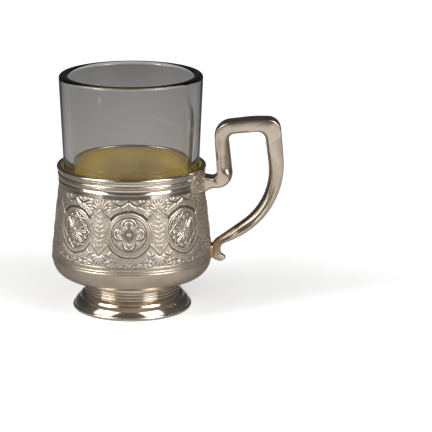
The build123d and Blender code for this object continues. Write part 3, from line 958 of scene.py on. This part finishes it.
# ======== handle
def stations(corners, radii, straights, steps):
    """Points along one side of the handle, as many between and in corners as asked."""
    # The end corners give one point each, and every other corner gives an arc.
    line = rounded(corners, radii, steps)
    points = line[:1]
    for index, count in enumerate(straights):
        first = 1 + index * (steps + 1)
        arc = line[first : first + steps + 1]
        start = points[-1]
        points += [start + (arc[0] - start) * step / count for step in range(1, count)]
        points += arc
    return np.array(points)


def handle_sections(outer, finger, widths, bulges, crowns):
    """Rings of a D section with crowned sides between the outer and the finger side."""
    edge = 0.7
    rings = []
    for start, end, half_width, bulge, crown in zip(outer, finger, widths, bulges, crowns):
        depth = float(np.linalg.norm(end - start))
        ahead = (end - start) / depth
        bulge = min(bulge, depth * 0.9)
        flat = [(share * (half_width - edge), 0.0) for share in (0.0, 0.5, 0.85)]
        for step in range(6):
            angle = pi / 2 * step / 5
            flat.append((half_width - edge + edge * sin(angle), edge - edge * cos(angle)))
        straight = depth - bulge
        for share in (0.15, 0.33, 0.5, 0.67, 0.85):
            swell = crown * 4 * share * (1 - share)
            flat.append((half_width + swell, edge + (straight - edge) * share))
        for step in range(13):
            angle = pi / 2 * step / 12
            flat.append((half_width * cos(angle), straight + bulge * sin(angle)))
        # The other half of the ring mirrors this half.
        ring = flat + [(-side, inward) for side, inward in flat[-2:0:-1]]
        rings.append(
            [(start[0] + ahead[0] * inward, side, start[1] + ahead[1] * inward) for side, inward in ring]
        )
    return np.array(rings)


def make_handle():
    """Cast handle with a D section, from the upper plate to the tail of its lower end."""
    sunk_in = 0.3
    stem_width = 8.45
    stem_width_high = 7.45
    grip_width = 7.1
    plate_face = plate_radius - sunk_in
    arm_top = moulding_top - 4.9
    arm_low = arm_top - 5.9
    stem = plate_face + sunk_in + 5.95
    stem_high = stem - 2.05
    handle_top = arm_top + 29.9
    corner = stem_high + 32.3
    grip = corner + 4.5
    grip_low = handle_top - 45.9
    crown = stem_high + 19.5
    heel = pad_face + 3.6
    heel_high = joint_height + 4.7
    seat_low = joint_height - 2.7
    tail = pad_face + 6.2
    tail_height = seat_low + 0.5
    outer_corners = (
        (plate_face, arm_top + 0.5),
        (plate_face + 3.2, arm_top),
        (stem, arm_top),
        (stem_high, arm_top + 27.5),
        (crown, handle_top),
        (corner + 0.7, handle_top),
        (grip + 0.45, grip_low - 3.0),
        (heel, heel_high),
        (heel + 0.1, tail_height + 2.0),
        (tail - 0.15, tail_height + 0.3),
        (tail, tail_height - 0.4),
    )
    finger_corners = (
        (plate_face, arm_low - 1.7),
        (plate_face + 3.2, arm_low + 0.2),
        (stem + stem_width, arm_low + 0.7),
        (stem_high + stem_width_high, handle_top - 8.2),
        ((stem_high + stem_width_high + corner - grip_width) / 2, handle_top - 7.3),
        (corner - grip_width, handle_top - 6.4),
        (grip - grip_width, grip_low + 4.3),
        (pad_face - sunk_in, heel_high + 1.4),
        (pad_face - 0.2, seat_low),
        (pad_face + 3.4, seat_low - 1.6),
        (tail - 0.2, tail_height - 0.9),
    )
    outer_radii = (0, 8.0, 2.2, 8.5, 60, 6.6, 42, 3.5, 2.0, 0.3, 0)
    finger_radii = (0, 7.0, 7.6, 3.0, 60, 4.4, 32, 5.0, 1.2, 2.2, 0)
    straights = (4, 6, 16, 10, 10, 14, 12, 8, 6, 3)
    outer = stations(outer_corners, outer_radii, straights, 14)
    finger = stations(finger_corners, finger_radii, straights, 14)
    strides = np.linalg.norm(np.diff((outer + finger) / 2, axis=0), axis=1)
    length = np.concatenate(([0], np.cumsum(strides)))
    # Half widths, side crowns and finger side bulges along the handle, from plate to tail.
    share = length / length[-1]
    widths = np.interp(
        share,
        (0, 0.05, 0.22, 0.27, 0.40, 0.45, 0.72, 0.88, 0.94, 1),
        (5.4, 4.7, 4.7, 5.3, 5.3, 4.7, 4.7, 3.7, 2.9, 1.7),
    )
    crowns = np.interp(
        share,
        (0, 0.05, 0.13, 0.18, 0.27, 0.36, 0.52, 1),
        (0.03, 0.03, 0.35, 0.35, 0.05, 0.05, 0.35, 0.35),
    )
    bulges = np.interp(
        share,
        (0, 0.075, 0.11, 0.16, 0.21, 0.26, 0.46, 0.56, 0.66, 0.76, 0.885, 0.925, 1),
        (1.8, 1.8, 5.4, 5.0, 2.9, 2.1, 2.1, 2.6, 3.4, 4.8, 4.6, 0.15, 0.15),
    )
    rings = handle_sections(outer, finger, widths, bulges, crowns)
    columns, rows = rings.shape[:2]
    faces = grid_faces(columns, rows, False, True) + end_faces(columns, rows)
    mesh = new_mesh("handle", rings.reshape(-1, 3), faces, 50)
    places = np.array([vertex.co for vertex in mesh.vertices]) / MM
    from_joint = np.hypot(places[:, 0] - pad_face, places[:, 2] - heel_high)
    add_marks(mesh, fade(7.5, 2.0, from_joint))
    return mesh


add_piece("handle_cast", make_handle(), "silver_satin", ["handle"], handle_silver)


def make_handle_pad():
    """Soldered pad with soft edges between the wall and the lower end of the handle."""
    half = high("handle_pad", 1)
    base = low("handle_pad")
    top = high("handle_pad") - 1.7
    vertices = []
    layers = (
        (skirt_radius - 0.5, 0.0),
        (pad_face - 0.8, 0.0),
        (pad_face - 0.3, 0.12),
        (pad_face, 0.5),
    )
    for place, inset in layers:
        side = half - inset
        corners = rectangle(-side, base + inset, side, top - inset)
        outline = rounded(corners, (1.2, 1.2, 1.2, 1.2), 8)
        vertices += [(place, point[0], point[1]) for point in outline]
    columns = len(layers)
    rows = len(vertices) // columns
    faces = grid_faces(columns, rows, False, True) + end_faces(columns, rows)
    return new_mesh("handle_pad", vertices, faces)


add_piece("handle_lower_pad", make_handle_pad(), "silver_satin", ["handle_pad"], solder_silver)


# ======== glass
def make_glass():
    """Blown tumbler with a thick base and a round lip."""
    wall = 4.6
    taper = 0.0445
    lip = 1.5
    low_radius = glass_top_radius - taper * (glass_top - glass_base)
    floor = 8.0
    floor_radius = low_radius + taper * floor - wall
    radii = (0, 2.6, lip, lip, 6.0, 0)
    corners = (
        (0, glass_base),
        (low_radius, glass_base),
        (glass_top_radius, glass_top),
        (glass_top_radius - wall, glass_top),
        (floor_radius, glass_base + floor),
        (0, glass_base + floor),
    )
    return turned("tea_glass", rounded(corners, radii, 14), sharp=60)


tumbler = add_piece(
    "tumbler", make_glass(), "clear_glass", ["tea_glass"], blown_glass(), body="glass"
)
# Light falls through the glass onto the gilding.
tumbler.visible_shadow = False


# ======== floor, light and camera
def add_stage(name, corners, faces, paleness, glows, camera, mirrored, through_glass):
    """Stage surface that glows a little, near and far, and is met by some kinds of rays only."""
    mesh = bpy.data.meshes.new(name)
    mesh.from_pydata(corners, [], faces)
    stage = add_object(name, mesh)
    material, nodes, links, shader = nodes_of(name)
    mottle = noise(nodes, links, evenly, scale=6, detail=2)
    paler = (paleness * 1.03, paleness * 1.03, paleness * 1.02)
    shade = ramp(nodes, links, mottle, (0.3, (paleness, paleness, paleness)), (0.7, paler))
    place = nodes.new("ShaderNodeTexCoord")
    if mirrored:
        # The mirrored floor has a painted pool of light in front of the object and painted shade outside
        # it.
        light_pool_reach = vector_math(nodes, links, "DISTANCE", place.outputs["Object"], (0.04, -0.27, 0.0))
        outside = span(nodes, links, light_pool_reach.outputs["Value"], 0.0, 1.0, start=0.14, end=0.30)
        shade = mixed(nodes, links, outside, shade, (0.27, 0.27, 0.27, 1))
    links.new(shade, shader.inputs["Base Color"])
    shader.inputs["Roughness"].default_value = 0.9
    shader.inputs["Specular IOR Level"].default_value = 0.1
    shader.inputs["Emission Color"].default_value = (1, 1, 1, 1)
    # The glow changes with distance, sooner sideways where the glass shows it.
    narrowing = (1.9 if through_glass else 1.0, 1.0, 1.0)
    narrowed = vector_math(nodes, links, "MULTIPLY", place.outputs["Object"], narrowing)
    reach = vector_math(nodes, links, "LENGTH", narrowed.outputs["Vector"])
    glow = span(nodes, links, reach.outputs["Value"], *glows, start=0.12, end=0.55)
    links.new(glow, shader.inputs["Emission Strength"])
    material.cycles.emission_sampling = "NONE"
    mesh.materials.append(material)
    stage.visible_camera = camera
    stage.visible_diffuse = mirrored
    stage.visible_glossy = mirrored
    stage.visible_shadow = mirrored
    stage.visible_transmission = through_glass


def make_stage():
    """Pale floor and backdrop; what the silver mirrors and the glass shows is greyer."""
    half = 6.0
    for name, level, paleness, glows, rays in (
        ("floor", 0.0, 0.85, (0.42, 0.8), (True, False, False)),
        ("floor_through_glass", -0.0004, 0.3, (0.26, 0.02), (False, False, True)),
        ("floor_mirrored", -0.0008, 0.7, (0.05, 0.0), (False, True, False)),
    ):
        corners = [(x, y, level) for x, y in rectangle(-half, -half, half, half)]
        add_stage(name, corners, [(0, 1, 2, 3)], paleness, glows, *rays)
    sides = 64
    panes = []
    for side in range(sides):
        beside = (side + 1) % sides
        panes.append((side, beside, sides + beside, sides + side))
    turn = [2 * pi * side / sides for side in range(sides)]
    wall = [(half * cos(angle), half * sin(angle), level) for level in (-1.0, half) for angle in turn]
    add_stage("backdrop", wall, panes, 0.8, (0.86, 0.86), True, False, False)


def softbox(name, azimuth, elevation, distance, width, height, power):
    """Area light aimed at the middle of the object; azimuth is counted from the camera's side."""
    light = bpy.data.lights.new(name, "AREA")
    light.shape = "RECTANGLE"
    light.size = width
    light.size_y = height
    light.energy = power
    lamp = add_object(name, light)
    aim = Vector((0, 0, 0.06))
    turn = radians(azimuth)
    rise = radians(elevation)
    offset = Vector((sin(turn) * cos(rise), -cos(turn) * cos(rise), sin(rise)))
    lamp.location = aim + offset * distance
    lamp.rotation_euler = offset.to_track_quat("Z", "Y").to_euler()


def make_camera():
    """Camera fitted to the view of the photograph."""
    camera = bpy.data.cameras.new("camera")
    camera.sensor_width = 36.0
    camera.lens = 190.49
    camera.clip_end = 100.0
    place = Vector((0.04193, -1.1, 0.34010))
    tilt = radians(90 - 14.966)
    roll = 0.0035
    holder = add_object("camera", camera)
    holder.matrix_world = (
        Matrix.Translation(place) @ Matrix.Rotation(tilt, 4, "X") @ Matrix.Rotation(roll, 4, "Z")
    )
    bpy.context.scene.camera = holder


def make_room():
    """Room that is dim at the horizon and paler overhead."""
    room = bpy.data.worlds.new("room")
    room.use_nodes = True
    nodes = room.node_tree.nodes
    links = room.node_tree.links
    direction = nodes.new("ShaderNodeTexCoord")
    split = nodes.new("ShaderNodeSeparateXYZ")
    links.new(direction.outputs["Generated"], split.inputs["Vector"])
    overhead = ((0.0, (0.22, 0.22, 0.22)), (0.35, (0.13, 0.13, 0.13)), (0.9, (0.17, 0.168, 0.165)))
    tone = ramp(nodes, links, split.outputs["Z"], *overhead)
    behind = span(nodes, links, split.outputs["Y"], 0.5, 1.0)
    darker = ((0.5, (0.75, 0.75, 0.75)), (0.75, (0.45, 0.45, 0.45)), (1.0, (0.3, 0.3, 0.3)))
    facing = ramp(nodes, links, behind, *darker)
    tone = mixed(nodes, links, 1.0, tone, facing, "MULTIPLY")
    links.new(tone, nodes["Background"].inputs["Color"])
    bpy.context.scene.world = room


make_stage()
# Azimuth and elevation in degrees; distance, width and height in metres; power in watts.
softbox("softbox_left", -60, 31, 1.2, 0.8, 1.25, 8.0)
softbox("softbox_right", 48, 31, 1.2, 0.75, 1.25, 7.2)
softbox("softbox_left_core", -57, 36, 1.15, 0.24, 0.5, 3.6)
softbox("softbox_right_core", 50, 36, 1.15, 0.24, 0.5, 3.4)
make_camera()
make_room()
bpy.context.scene.view_settings.view_transform = "Standard"
